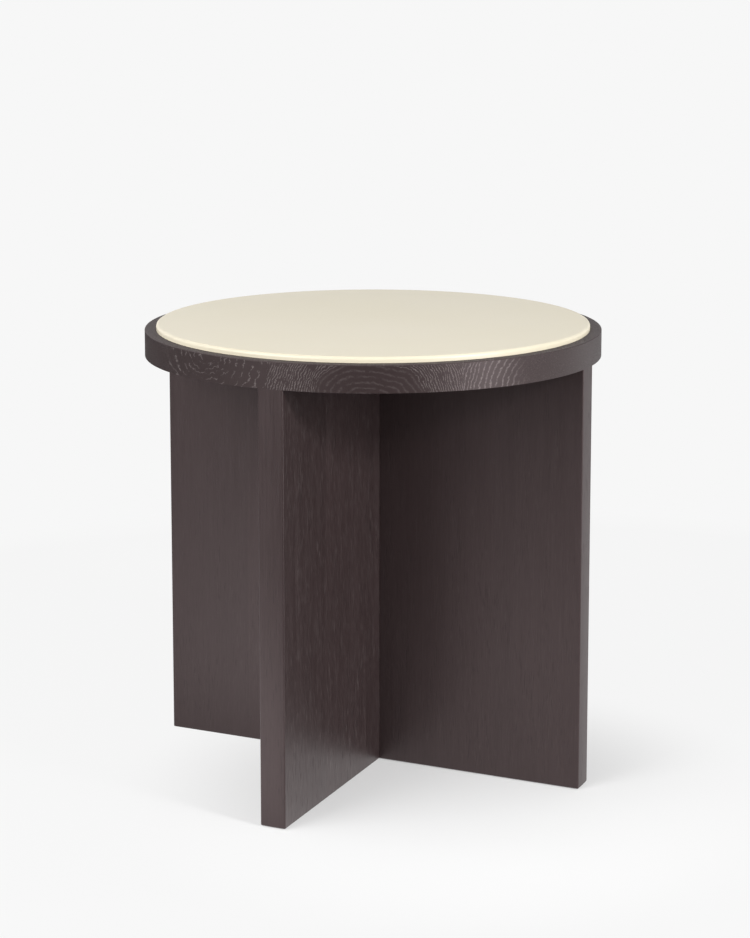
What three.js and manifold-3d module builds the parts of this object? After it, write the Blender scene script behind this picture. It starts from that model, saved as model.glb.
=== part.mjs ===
// Round side table: a stone disc let into a glued-up oak top, on two oak panels that cross in a
// half-lap joint. Their outer ends are flush with the rim of the top.
// Units are millimetres and +Z is up. The origin is on the floor under the middle of the table.
// One panel runs along X and the other along Y. The boards of the top lie at an angle to both.

import * as THREE from 'three';
import { mergeVertices } from 'three/addons/utils/BufferGeometryUtils.js';
import Module from 'manifold-3d';

const wasm = await Module();
wasm.setup();

// Oak top
const TOP_DIAMETER = 560;
const TOP_HEIGHT = 548; // upper face of the oak above the floor
const TOP_THICKNESS = 32;
const RIM_WIDTH = 13.5; // oak left round the recess
const RIM_ROUND = 2; // rounding of the rim's upper edge
const MIDDLE_BOARD_WIDTH = 220;
const BOARD_TURN_DEGREES = 22.5; // from the Y panel to the run of the boards
const GLUE_LINE = 0.3;

// Stone disc and what it lies on
const DISC_THICKNESS = 15;
const DISC_PROUD = 7; // above the oak
const DISC_EDGE_ROUND = 4;
const DISC_LOWER_CHAMFER = 1;
const RECESS_GAP = 0.5; // round the disc
const PAD_DIAMETER = 24;
const PAD_THICKNESS = 2;
const PAD_RING_INSET = 66; // from the disc's edge to the ring of pads

// Crossed panels
const PANEL_THICKNESS = 32;
const STAVES_PER_PANEL = 5;
const PANEL_EDGE_ROUND = 1.5;
const LAP_GAP = 0.3;

// Steel plate between the cross and the top
const PLATE_WIDTH = 200;
const PLATE_THICKNESS = 4;
const PLATE_CORNER_ROUND = 10;
const PLATE_BOLT_INSET = 30; // of each bolt from the plate's two nearest edges
const PLATE_SCREW_INSET = 16; // of the outer wood screws from the plate's edge
const PLATE_SCREW_PITCH = 48; // from the outer to the inner wood screws
const WOOD_SCREW = { shank: 4, head: 8, headHeight: 2.4, length: 40, tip: 5 };
const SCREW_SUNK = 0.3;

// Bolts, washers and threaded inserts
const BOLT_SHANK_DIAMETER = 6;
const BOLT_LENGTH = 16;
const BOLT_HEAD_DIAMETER = 10.5;
const BOLT_HEAD_HEIGHT = 3.3;
const BOLT_KEY_WIDTH = 4; // across the flats
const BOLT_KEY_SIDES = 6;
const BOLT_KEY_DEPTH = 2;
const WASHER_DIAMETER = 14;
const WASHER_THICKNESS = 1.5;
const INSERT_DIAMETER = 10;
const INSERT_LENGTH = 13;

// Dowels
const LOCATING_DOWEL = { diameter: 10, length: 30, chamfer: 1 };
const LOCATING_DOWEL_INSET = 40; // from the panels' outer ends
const BOARD_DOWEL = { diameter: 8, length: 40, chamfer: 1 };
const BOARD_DOWEL_PITCH = 160;
const BOARD_DOWELS_PER_JOINT = 3;

// Glides
const GLIDE_DIAMETER = 22;
const GLIDE_THICKNESS = 4;
const GLIDE_PROUD = 1; // below the oak
const GLIDE_CHAMFER = 0.5;
const GLIDE_INSET = 32; // from the panels' outer ends
const GLIDE_SCREW = { shank: 3.5, head: 7, headHeight: 2, length: 18, tip: 4 };
const GLIDE_SCREW_SUNK = 0.8;

// Fits, and how far a cutter runs past what it cuts
const FIT_GAP = 0.3;
const OVERRUN = 5;

// Facets round a large circle, a small one and a rounded edge
const TURNED_FACETS = 96;
const SMALL_FACETS = 12;
const EDGE_FACETS = 4;

// Worked out from the sizes above
const TOP_RADIUS = TOP_DIAMETER / 2;
const TOP_UNDERSIDE = TOP_HEIGHT - TOP_THICKNESS;
const RECESS_RADIUS = TOP_RADIUS - RIM_WIDTH;
const DISC_RADIUS = RECESS_RADIUS - RECESS_GAP;
const DISC_UNDERSIDE = TOP_HEIGHT + DISC_PROUD - DISC_THICKNESS;
const RECESS_FLOOR = DISC_UNDERSIDE - PAD_THICKNESS;
const PANEL_FOOT = GLIDE_PROUD;
const PANEL_HEIGHT = TOP_UNDERSIDE - PANEL_FOOT;
const LAP_HEIGHT = PANEL_FOOT + PANEL_HEIGHT / 2;
const PLATE_UNDERSIDE = TOP_UNDERSIDE - PLATE_THICKNESS;
const BOLT_BEARING = PLATE_UNDERSIDE - WASHER_THICKNESS;
const BOLT_OFFSET = PLATE_WIDTH / 2 - PLATE_BOLT_INSET;
const OUTER_SCREW_OFFSET = PLATE_WIDTH / 2 - PLATE_SCREW_INSET;
const INNER_SCREW_OFFSET = OUTER_SCREW_OFFSET - PLATE_SCREW_PITCH;
const WING_DOWEL_RADIUS = TOP_RADIUS - LOCATING_DOWEL_INSET;
const GLIDE_RADIUS = TOP_RADIUS - GLIDE_INSET;
const BOARD_TURN = THREE.MathUtils.degToRad(BOARD_TURN_DEGREES);
const QUARTER = Math.PI / 2;

// Finishes
function finish(color, roughness, metalness) {
  return new THREE.MeshStandardMaterial({ color, roughness, metalness });
}
const stainedOak = () => finish(0x4d4242, 0.5, 0);
const creamStone = () => finish(0xe4ddcb, 0.5, 0);
const siliconePad = () => finish(0xc9cbc8, 0.6, 0);
const beech = () => finish(0xc9a27a, 0.7, 0);
const blackSteel = () => finish(0x1d1d1f, 0.5, 0.6);
const zincSteel = () => finish(0xb9bcc0, 0.35, 1);
const brass = () => finish(0xb8975a, 0.35, 1);
const nylon = () => finish(0x2a2624, 0.6, 0);

// Turns a closed three.js geometry into a solid that can be cut and joined.
function toSolid(geometry) {
  const bare = geometry.index ? geometry.toNonIndexed() : geometry.clone();
  bare.deleteAttribute('normal');
  bare.deleteAttribute('uv');
  const merged = mergeVertices(bare);
  const corners = merged.index.array;
  const faces = [];
  for (let i = 0; i < corners.length; i += 3) {
    const [a, b, c] = [corners[i], corners[i + 1], corners[i + 2]];
    if (a !== b && b !== c && c !== a) {
      faces.push(a, b, c);
    }
  }
  return new wasm.Manifold(new wasm.Mesh({
    numProp: 3,
    vertProperties: new Float32Array(merged.attributes.position.array),
    triVerts: new Uint32Array(faces),
  }));
}

function toGeometry(solid) {
  const mesh = solid.getMesh();
  const geometry = new THREE.BufferGeometry();
  geometry.setAttribute('position', new THREE.BufferAttribute(new Float32Array(mesh.vertProperties), 3));
  geometry.setIndex(new THREE.BufferAttribute(new Uint32Array(mesh.triVerts), 1));
  geometry.computeVertexNormals();
  return geometry;
}

function part(name, solid, material) {
  const mesh = new THREE.Mesh(toGeometry(solid), material);
  mesh.name = name;
  return mesh;
}

// Numbered copies of one piece, each a mesh of its own at its place in X and Y.
function copies(name, solid, material, places, height = 0) {
  const geometry = toGeometry(solid);
  return places.map(([x, y], i) => {
    const mesh = new THREE.Mesh(geometry, material);
    mesh.name = `${name}_${i + 1}`;
    mesh.position.set(x, y, height);
    return mesh;
  });
}

function cutAll(solid, cutters) {
  return cutters.reduce((left, cutter) => left.subtract(cutter), solid);
}

// A solid of revolution about Z. Its profile is a list of [radius, height] from the foot up, which
// starts and ends on the axis, or closes on itself.
function turned(profile, facets) {
  const points = profile.map(([radius, height]) => new THREE.Vector2(radius, height));
  return toSolid(new THREE.LatheGeometry(points, facets).rotateX(QUARTER));
}

// Points of a quarter round in a profile, from one angle to another about its centre.
function roundCorner(centreRadius, centreHeight, round, from, to) {
  return Array.from({ length: EDGE_FACETS + 1 }, (_, i) => {
    const angle = from + (to - from) * (i / EDGE_FACETS);
    return [centreRadius + round * Math.cos(angle), centreHeight + round * Math.sin(angle)];
  });
}

// An upright cylinder that stands on the given height.
function rod(diameter, length, foot = 0) {
  const radius = diameter / 2;
  return turned([[0, foot], [radius, foot], [radius, foot + length], [0, foot + length]], SMALL_FACETS);
}

function ring(outerDiameter, innerDiameter, length) {
  const [outer, inner] = [outerDiameter / 2, innerDiameter / 2];
  return turned([[inner, 0], [outer, 0], [outer, length], [inner, length], [inner, 0]], SMALL_FACETS);
}

// A box between two corners.
function block(low, high) {
  const [x, y, z] = high.map((value, i) => value - low[i]);
  const middle = high.map((value, i) => (value + low[i]) / 2);
  return toSolid(new THREE.BoxGeometry(x, y, z).translate(...middle));
}

// A flat outline in X and Y, raised from one height to another.
function raised(shape, foot, head) {
  const options = { depth: head - foot, bevelEnabled: false, curveSegments: EDGE_FACETS / 2 };
  return toSolid(new THREE.ExtrudeGeometry(shape, options).translate(0, 0, foot));
}

// A dowel along Z, centred on the origin, with chamfered ends. grow makes its hole.
function dowel({ diameter, length, chamfer }, grow = 0) {
  const radius = diameter / 2 + grow;
  const half = length / 2 + grow;
  return turned([
    [0, -half],
    [radius - chamfer, -half],
    [radius, chamfer - half],
    [radius, half - chamfer],
    [radius - chamfer, half],
    [0, half],
  ], SMALL_FACETS);
}

// A countersunk screw whose head is flat on the origin and whose point is down. grow makes its hole.
function screw({ shank, head, headHeight, length, tip }, grow = 0) {
  const [shankRadius, headRadius] = [shank / 2 + grow, head / 2 + grow];
  const end = length + grow;
  return turned([
    [0, -end],
    [shankRadius, tip - end],
    [shankRadius, -headHeight],
    [headRadius, 0],
    [0, 0],
  ], SMALL_FACETS);
}

// The hole that a sunk screw needs: its own shape with a gap, opened upwards past its head.
function screwHole(size, sunk) {
  const mouth = rod(size.head + 2 * FIT_GAP, sunk + OVERRUN);
  return screw(size, FIT_GAP).add(mouth).translate([0, 0, -sunk]);
}

// The four places, as [x, y], that one place takes when the table is turned by quarter turns.
function fourPlaces(x, y) {
  return [[x, y], [-y, x], [-x, -y], [y, -x]];
}

const wingDowelPlaces = fourPlaces(WING_DOWEL_RADIUS, 0);
const glidePlaces = fourPlaces(GLIDE_RADIUS, 0);
const boltPlaces = fourPlaces(BOLT_OFFSET, BOLT_OFFSET);
const plateScrewPlaces = [...fourPlaces(INNER_SCREW_OFFSET, 0), ...fourPlaces(OUTER_SCREW_OFFSET, 0)];
const padPlaces = [[0, 0], ...fourPlaces(DISC_RADIUS - PAD_RING_INSET, 0)];

function atPlaces(solid, places, height = 0) {
  return places.map(([x, y]) => solid.translate([x, y, height]));
}

// Stone disc: chamfered below and rounded above.
function stoneDisc() {
  const head = TOP_HEIGHT + DISC_PROUD;
  const round = DISC_EDGE_ROUND;
  return turned([
    [0, DISC_UNDERSIDE],
    [DISC_RADIUS - DISC_LOWER_CHAMFER, DISC_UNDERSIDE],
    [DISC_RADIUS, DISC_UNDERSIDE + DISC_LOWER_CHAMFER],
    ...roundCorner(DISC_RADIUS - round, head - round, round, 0, QUARTER),
    [0, head],
  ], TURNED_FACETS);
}

// Places of the dowels across the boards' joints, in the boards' own frame.
function boardDowelPlaces() {
  const middle = (BOARD_DOWELS_PER_JOINT - 1) / 2;
  return [-1, 1].flatMap((side) => Array.from({ length: BOARD_DOWELS_PER_JOINT }, (_, i) => [
    side * MIDDLE_BOARD_WIDTH / 2,
    (i - middle) * BOARD_DOWEL_PITCH,
  ]));
}

function boardDowel(grow) {
  return dowel(BOARD_DOWEL, grow).rotate([0, 90, 0]);
}

// The top before it is parted into boards, in the boards' own frame: turned, with its recess.
function turnedTop() {
  return turned([
    [0, TOP_UNDERSIDE],
    [TOP_RADIUS, TOP_UNDERSIDE],
    ...roundCorner(TOP_RADIUS - RIM_ROUND, TOP_HEIGHT - RIM_ROUND, RIM_ROUND, 0, QUARTER),
    [RECESS_RADIUS, TOP_HEIGHT],
    [RECESS_RADIUS, RECESS_FLOOR],
    [0, RECESS_FLOOR],
  ], TURNED_FACETS);
}

// Holes that come up into the top from the base, in the table's frame.
function topHolesFromBelow() {
  const insertDepth = INSERT_LENGTH + FIT_GAP;
  const insertHole = rod(INSERT_DIAMETER + 2 * FIT_GAP, insertDepth + OVERRUN, TOP_UNDERSIDE - OVERRUN);
  return [
    ...atPlaces(dowel(LOCATING_DOWEL, FIT_GAP), wingDowelPlaces, TOP_UNDERSIDE),
    ...atPlaces(insertHole, boltPlaces),
  ];
}

// Keeps what lies between two values of x.
function between(solid, from, to) {
  const reach = TOP_RADIUS + OVERRUN;
  return solid.intersect(block([from, -reach, -OVERRUN], [to, reach, TOP_HEIGHT + OVERRUN]));
}

function topBoards() {
  const holesBelow = topHolesFromBelow().map((hole) => hole.rotate([0, 0, -BOARD_TURN_DEGREES]));
  const dowelHeight = (TOP_UNDERSIDE + RECESS_FLOOR) / 2;
  const dowelHoles = atPlaces(boardDowel(FIT_GAP), boardDowelPlaces(), dowelHeight);
  const blank = cutAll(turnedTop(), [...holesBelow, ...dowelHoles]);
  const joint = MIDDLE_BOARD_WIDTH / 2;
  const reach = TOP_RADIUS + OVERRUN;
  const boards = new THREE.Group();
  boards.rotation.z = BOARD_TURN;
  boards.add(
    part('top_board_left', between(blank, -reach, -joint - GLUE_LINE / 2), stainedOak()),
    part('top_board_middle', between(blank, GLUE_LINE / 2 - joint, joint - GLUE_LINE / 2), stainedOak()),
    part('top_board_right', between(blank, joint + GLUE_LINE / 2, reach), stainedOak()),
    ...copies('top_board_dowel', boardDowel(0), beech(), boardDowelPlaces(), dowelHeight),
  );
  return boards;
}

// A panel seen from above. Each corner is rounded between the flat side and the rim's circle, past
// which the outline runs on, because the turned envelope below ends it.
function panelPlan() {
  const half = PANEL_THICKNESS / 2;
  const centreY = half - PANEL_EDGE_ROUND;
  const centreX = Math.sqrt((TOP_RADIUS - PANEL_EDGE_ROUND) ** 2 - centreY ** 2);
  const tangent = Math.atan2(centreY, centreX);
  const end = TOP_RADIUS + OVERRUN;
  const endY = TOP_RADIUS * Math.sin(tangent);
  const shape = new THREE.Shape();
  shape.moveTo(end, -endY);
  shape.lineTo(end, endY);
  shape.absarc(centreX, centreY, PANEL_EDGE_ROUND, tangent, QUARTER);
  shape.absarc(-centreX, centreY, PANEL_EDGE_ROUND, QUARTER, Math.PI - tangent);
  shape.lineTo(-end, endY);
  shape.lineTo(-end, -endY);
  shape.absarc(-centreX, -centreY, PANEL_EDGE_ROUND, Math.PI + tangent, 3 * QUARTER);
  shape.absarc(centreX, -centreY, PANEL_EDGE_ROUND, 3 * QUARTER, 4 * QUARTER - tangent);
  return raised(shape, PANEL_FOOT - OVERRUN, TOP_UNDERSIDE);
}

// The same panel seen along its length: its feet are rounded on both sides.
function panelSection() {
  const half = PANEL_THICKNESS / 2;
  const round = PANEL_EDGE_ROUND;
  const shape = new THREE.Shape();
  shape.moveTo(half, TOP_UNDERSIDE + OVERRUN);
  shape.lineTo(-half, TOP_UNDERSIDE + OVERRUN);
  shape.absarc(round - half, PANEL_FOOT + round, round, Math.PI, 3 * QUARTER);
  shape.absarc(half - round, PANEL_FOOT + round, round, 3 * QUARTER, 4 * QUARTER);
  const reach = TOP_RADIUS + 2 * OVERRUN;
  return raised(shape, -reach, reach).rotate([90, 0, 90]);
}

// What the rim's circle leaves of the base, with the outer foot rounded.
function turnedEnvelope() {
  const round = PANEL_EDGE_ROUND;
  return turned([
    [0, PANEL_FOOT],
    ...roundCorner(TOP_RADIUS - round, PANEL_FOOT + round, round, -QUARTER, 0),
    [TOP_RADIUS, TOP_UNDERSIDE + OVERRUN],
    [0, TOP_UNDERSIDE + OVERRUN],
  ], TURNED_FACETS);
}

// Cuts that both panels share: the seat of the plate, the screws' and dowels' holes, the glides' seats.
function panelCuts() {
  const seat = PLATE_WIDTH / 2 + FIT_GAP;
  const glideSeat = rod(GLIDE_DIAMETER + 2 * FIT_GAP, GLIDE_THICKNESS + OVERRUN, -OVERRUN);
  return [
    block([-seat, -seat, PLATE_UNDERSIDE], [seat, seat, TOP_UNDERSIDE + OVERRUN]),
    ...atPlaces(screwHole(WOOD_SCREW, SCREW_SUNK), plateScrewPlaces, TOP_UNDERSIDE),
    ...atPlaces(dowel(LOCATING_DOWEL, FIT_GAP), wingDowelPlaces, TOP_UNDERSIDE),
    ...atPlaces(glideSeat, glidePlaces),
    ...atPlaces(screwHole(GLIDE_SCREW, GLIDE_SCREW_SUNK).rotate([180, 0, 0]), glidePlaces),
  ];
}

// A panel along X, with the slot of its half-lap between two heights, parted into staves.
function panelStaves(name, slotFoot, slotHead) {
  const slot = PANEL_THICKNESS / 2 + LAP_GAP;
  const blank = panelPlan().intersect(panelSection()).intersect(turnedEnvelope());
  const cuts = [...panelCuts(), block([-slot, -slot, slotFoot], [slot, slot, slotHead])];
  const panel = cutAll(blank, cuts);
  const staveWidth = TOP_DIAMETER / STAVES_PER_PANEL;
  const staves = new THREE.Group();
  for (let i = 0; i < STAVES_PER_PANEL; i += 1) {
    const from = i * staveWidth - TOP_RADIUS;
    staves.add(part(`${name}_stave_${i + 1}`, between(panel, from, from + staveWidth), stainedOak()));
  }
  return staves;
}

function crossedPanels() {
  const xPanel = panelStaves('x_panel', LAP_HEIGHT - LAP_GAP / 2, TOP_UNDERSIDE + OVERRUN);
  const yPanel = panelStaves('y_panel', PANEL_FOOT - OVERRUN, LAP_HEIGHT + LAP_GAP / 2);
  yPanel.rotation.z = QUARTER;
  return new THREE.Group().add(xPanel, yPanel);
}

// Square steel plate, let into the upper edges of both panels.
function mountingPlate() {
  const half = PLATE_WIDTH / 2;
  const centre = half - PLATE_CORNER_ROUND;
  const shape = new THREE.Shape();
  shape.absarc(centre, centre, PLATE_CORNER_ROUND, 0, QUARTER);
  shape.absarc(-centre, centre, PLATE_CORNER_ROUND, QUARTER, 2 * QUARTER);
  shape.absarc(-centre, -centre, PLATE_CORNER_ROUND, 2 * QUARTER, 3 * QUARTER);
  shape.absarc(centre, -centre, PLATE_CORNER_ROUND, 3 * QUARTER, 4 * QUARTER);
  const plate = raised(shape, PLATE_UNDERSIDE, TOP_UNDERSIDE);
  const bore = BOLT_SHANK_DIAMETER + 2 * FIT_GAP;
  const boltHole = rod(bore, PLATE_THICKNESS + 2 * OVERRUN, PLATE_UNDERSIDE - OVERRUN);
  return cutAll(plate, [
    ...atPlaces(screwHole(WOOD_SCREW, SCREW_SUNK), plateScrewPlaces, TOP_UNDERSIDE),
    ...atPlaces(boltHole, boltPlaces),
  ]);
}

// A bolt whose domed head hangs below the origin, with a hexagonal key hole in it.
function topBolt() {
  const [headRadius, shankRadius] = [BOLT_HEAD_DIAMETER / 2, BOLT_SHANK_DIAMETER / 2];
  const body = turned([
    [0, -BOLT_HEAD_HEIGHT],
    ...roundCorner(headRadius - BOLT_HEAD_HEIGHT, 0, BOLT_HEAD_HEIGHT, -QUARTER, 0),
    [shankRadius, 0],
    [shankRadius, BOLT_LENGTH],
    [0, BOLT_LENGTH],
  ], SMALL_FACETS);
  const keyRadius = BOLT_KEY_WIDTH / 2 / Math.cos(Math.PI / BOLT_KEY_SIDES);
  const depth = BOLT_KEY_DEPTH + OVERRUN;
  const key = new THREE.CylinderGeometry(keyRadius, keyRadius, depth, BOLT_KEY_SIDES).rotateX(QUARTER);
  return body.subtract(toSolid(key).translate([0, 0, BOLT_KEY_DEPTH - BOLT_HEAD_HEIGHT - depth / 2]));
}

// A glide: a thick disc whose rim is eased below, bored for its screw.
function glide() {
  const radius = GLIDE_DIAMETER / 2;
  const body = turned([
    [0, 0],
    [radius - GLIDE_CHAMFER, 0],
    [radius, GLIDE_CHAMFER],
    [radius, GLIDE_THICKNESS],
    [0, GLIDE_THICKNESS],
  ], SMALL_FACETS);
  return body.subtract(screwHole(GLIDE_SCREW, GLIDE_SCREW_SUNK).rotate([180, 0, 0]));
}

function fasteners() {
  const bore = BOLT_SHANK_DIAMETER + 2 * FIT_GAP;
  const washer = ring(WASHER_DIAMETER, bore, WASHER_THICKNESS);
  const insert = ring(INSERT_DIAMETER, bore, INSERT_LENGTH);
  const glideScrew = screw(GLIDE_SCREW).rotate([180, 0, 0]);
  return [
    ...copies('plate_screw', screw(WOOD_SCREW), zincSteel(), plateScrewPlaces, TOP_UNDERSIDE - SCREW_SUNK),
    ...copies('top_bolt', topBolt(), blackSteel(), boltPlaces, BOLT_BEARING),
    ...copies('bolt_washer', washer, zincSteel(), boltPlaces, BOLT_BEARING),
    ...copies('threaded_insert', insert, brass(), boltPlaces, TOP_UNDERSIDE),
    ...copies('locating_dowel', dowel(LOCATING_DOWEL), beech(), wingDowelPlaces, TOP_UNDERSIDE),
    ...copies('glide', glide(), nylon(), glidePlaces),
    ...copies('glide_screw', glideScrew, zincSteel(), glidePlaces, GLIDE_SCREW_SUNK),
  ];
}

const table = new THREE.Group();
table.add(
  part('stone_disc', stoneDisc(), creamStone()),
  ...copies('bedding_pad', rod(PAD_DIAMETER, PAD_THICKNESS), siliconePad(), padPlaces, RECESS_FLOOR),
  topBoards(),
  crossedPanels(),
  part('mounting_plate', mountingPlate(), blackSteel()),
  ...fasteners(),
);

export default table;
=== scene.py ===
import math

import bmesh
import bpy
from mathutils import Matrix, Vector


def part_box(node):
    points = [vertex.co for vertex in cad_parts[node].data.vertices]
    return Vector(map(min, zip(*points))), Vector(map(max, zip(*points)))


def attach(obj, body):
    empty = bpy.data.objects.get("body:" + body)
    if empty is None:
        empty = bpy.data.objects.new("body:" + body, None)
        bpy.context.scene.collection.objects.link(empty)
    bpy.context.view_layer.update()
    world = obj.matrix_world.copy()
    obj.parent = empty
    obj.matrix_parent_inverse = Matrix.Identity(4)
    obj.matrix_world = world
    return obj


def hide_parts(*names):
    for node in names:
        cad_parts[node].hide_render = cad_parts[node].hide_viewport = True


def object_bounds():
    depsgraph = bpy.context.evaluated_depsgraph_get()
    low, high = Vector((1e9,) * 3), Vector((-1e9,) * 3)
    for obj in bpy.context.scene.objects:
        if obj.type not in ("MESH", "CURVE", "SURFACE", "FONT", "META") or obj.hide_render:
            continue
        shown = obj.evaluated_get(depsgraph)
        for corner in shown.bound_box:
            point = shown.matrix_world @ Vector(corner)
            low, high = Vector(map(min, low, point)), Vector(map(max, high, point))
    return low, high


# Round side table: a cream stone disc in a dark-stained oak top, on two crossed oak panels.
# Units are metres, +Z is up, and the origin is on the floor under the middle of the table.
# One panel runs along X and the other along Y. The boards of the top run at an angle to both.

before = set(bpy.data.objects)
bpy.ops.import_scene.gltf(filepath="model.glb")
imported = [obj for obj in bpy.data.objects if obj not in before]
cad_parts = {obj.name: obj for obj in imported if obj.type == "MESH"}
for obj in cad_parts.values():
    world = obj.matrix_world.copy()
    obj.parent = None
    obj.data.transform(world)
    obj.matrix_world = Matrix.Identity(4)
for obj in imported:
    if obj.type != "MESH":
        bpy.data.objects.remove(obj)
CAD_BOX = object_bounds()

MM = 0.001
BODY = "root"
QUARTER = math.pi / 2
FULL_TURN = 2 * math.pi
NEAR = MM / 10  # points this close are taken to lie at the same height or radius


def span(node, axis):
    """Length of a node's box along an axis."""
    low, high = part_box(node)
    return high[axis] - low[axis]


def centre(node):
    """Middle of a node's box."""
    low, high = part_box(node)
    return [(a + b) / 2 for a, b in zip(low, high)]


# Sizes that the parts in model.glb give
TABLE_RADIUS = CAD_BOX[1][0]
RIM_UNDERSIDE, RIM_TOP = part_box("top_board_middle")[0][2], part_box("top_board_middle")[1][2]
DISC_RADIUS = span("stone_disc", 0) / 2
DISC_UNDERSIDE, DISC_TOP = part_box("stone_disc")[0][2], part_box("stone_disc")[1][2]
PAD_RADIUS, PAD_THICKNESS = span("bedding_pad_1", 0) / 2, span("bedding_pad_1", 2)
RECESS_FLOOR = DISC_UNDERSIDE - PAD_THICKNESS
PANEL_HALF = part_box("x_panel_stave_1")[1][1]
PANEL_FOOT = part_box("x_panel_stave_1")[0][2]
STAVE_WIDTH = span("x_panel_stave_2", 0)
PLATE_HALF, PLATE_UNDERSIDE = span("mounting_plate", 0) / 2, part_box("mounting_plate")[0][2]
BOLT_HEAD_RADIUS, BOLT_HEIGHT = span("top_bolt_1", 0) / 2, span("top_bolt_1", 2)
WASHER_RADIUS, WASHER_THICKNESS = span("bolt_washer_1", 0) / 2, span("bolt_washer_1", 2)
INSERT_RADIUS, INSERT_LENGTH = span("threaded_insert_1", 0) / 2, span("threaded_insert_1", 2)
WING_DOWEL_RADIUS, WING_DOWEL_LENGTH = span("locating_dowel_1", 0) / 2, span("locating_dowel_1", 2)
GLIDE_RADIUS, GLIDE_THICKNESS = span("glide_1", 0) / 2, span("glide_1", 2)
GLIDE_SCREW_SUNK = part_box("glide_screw_1")[0][2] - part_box("glide_1")[0][2]
PLATE_SCREW_SUNK = RIM_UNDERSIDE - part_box("plate_screw_1")[1][2]

# Sizes that they don't give
RECESS_GAP = 0.5 * MM
FIT_GAP = 0.3 * MM
RIM_ROUND = 1 * MM
DISC_ROUND = 4 * MM
DISC_LOWER_CHAMFER = 1 * MM
PANEL_ROUND = 1.5 * MM
GLUE_LINE = 0.1 * MM  # the gap between the boards of the top
BOARD_TURN = math.radians(22.5)
PLATE_CORNER_ROUND = 10 * MM
BOLT_SHANK_RADIUS = 3 * MM
BOLT_HEAD_HEIGHT = 3.3 * MM
BOLT_KEY_WIDTH = 4 * MM  # across the flats
BOLT_KEY_DEPTH = 2 * MM
BOARD_DOWEL_RADIUS = 4 * MM
BOARD_DOWEL_LENGTH = 40 * MM
DOWEL_CHAMFER = 1 * MM
GLIDE_ROUND = 0.5 * MM
SMALL_ROUND = 0.25 * MM
OVERRUN = 5 * MM  # how far a cutter reaches past the face that it opens

# Screws: radius of the shank and of the head, height of the head, length of the tip, whole length
PLATE_SCREW = {
    "shank": 2 * MM,
    "head": 4 * MM,
    "head_height": 2.4 * MM,
    "tip": 5 * MM,
    "length": span("plate_screw_1", 2),
}
GLIDE_SCREW = {
    "shank": 1.75 * MM,
    "head": 3.5 * MM,
    "head_height": 2 * MM,
    "tip": 4 * MM,
    "length": span("glide_screw_1", 2),
}
CROSS_ARM, CROSS_WALL, CROSS_DEPTH = 0.55, 0.12, 0.6  # shares of the head's radius, and of its height

# Fineness
LARGE_STEPS = 192
SMALL_STEPS = 32
ROUND_STEPS = 5
DISC_ROUND_STEPS = 8
SHARP_ANGLE = math.radians(35)  # edges past this angle are shaded sharp
CORNER_ANGLE = math.radians(60)

# Camera, as the photograph was taken
CAMERA_DISTANCE = 2.822
CAMERA_HEIGHT = 1.0
CAMERA_AZIMUTH = math.radians(24.53)
CAMERA_YAW = math.radians(0.046)
CAMERA_PITCH = math.radians(8.243)
LENS, SENSOR_WIDTH = 89.1, 36  # millimetres
CAMERA_SHIFT_Y = -0.19


# Node helpers

def give(tree, socket, value):
    """Links an input to another node's output, or sets its value."""
    if isinstance(value, bpy.types.NodeSocket):
        tree.links.new(value, socket)
    else:
        socket.default_value = value


def add(tree, kind, inputs=None, **settings):
    """A node with its settings, its input values and its links."""
    node = tree.nodes.new("ShaderNode" + kind)
    for name, value in settings.items():
        setattr(node, name, value)
    for name, value in (inputs or {}).items():
        give(tree, node.inputs[name], value)
    return node


def calc(tree, operation, *values, clamp=False):
    """A Math node's result."""
    inputs = dict(enumerate(values))
    return add(tree, "Math", inputs, operation=operation, use_clamp=clamp).outputs[0]


def vector_calc(tree, operation, first, second):
    """A Vector Math node of two vectors, or of a vector and its scale."""
    inputs = {0: first, "Scale" if operation == "SCALE" else 1: second}
    output = "Value" if operation in ("DOT_PRODUCT", "DISTANCE") else "Vector"
    return add(tree, "VectorMath", inputs, operation=operation).outputs[output]


def split(tree, vector):
    """The parts of a vector by name."""
    return add(tree, "SeparateXYZ", {"Vector": vector}).outputs


def joined(tree, x, y, z):
    """A vector from its parts."""
    return add(tree, "CombineXYZ", {"X": x, "Y": y, "Z": z}).outputs["Vector"]


def remap(tree, value, low, high, to_low=0.0, to_high=1.0, smooth=True):
    """The value moved from one range into another and held there."""
    inputs = {"Value": value, "From Min": low, "From Max": high, "To Min": to_low, "To Max": to_high}
    kind = "SMOOTHSTEP" if smooth else "LINEAR"
    return add(tree, "MapRange", inputs, interpolation_type=kind).outputs["Result"]


def scaled(tree, vector, scale, location=(0, 0, 0)):
    """The vector scaled along its axes and then shifted."""
    inputs = {"Vector": vector, "Scale": scale, "Location": location}
    return add(tree, "Mapping", inputs).outputs["Vector"]


def rotated(tree, vector, rotation):
    """The vector turned by three angles."""
    return add(tree, "Mapping", {"Vector": vector, "Rotation": rotation}).outputs["Vector"]


def noise(tree, vector, detail=2.0, roughness=0.5, output="Fac"):
    """Noise of about one wave per unit of the vector."""
    inputs = {"Vector": vector, "Scale": 1.0, "Detail": detail, "Roughness": roughness}
    return add(tree, "TexNoise", inputs).outputs[output]


def blend(tree, factor, low, high):
    """A colour between low and high."""
    inputs = {0: factor, 6: low, 7: high}
    return add(tree, "Mix", inputs, data_type="RGBA", clamp_factor=True).outputs[2]


def blend_values(tree, factor, low, high):
    """A number between low and high."""
    inputs = {0: factor, 2: low, 3: high}
    return add(tree, "Mix", inputs, data_type="FLOAT", clamp_factor=True).outputs[0]


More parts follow.
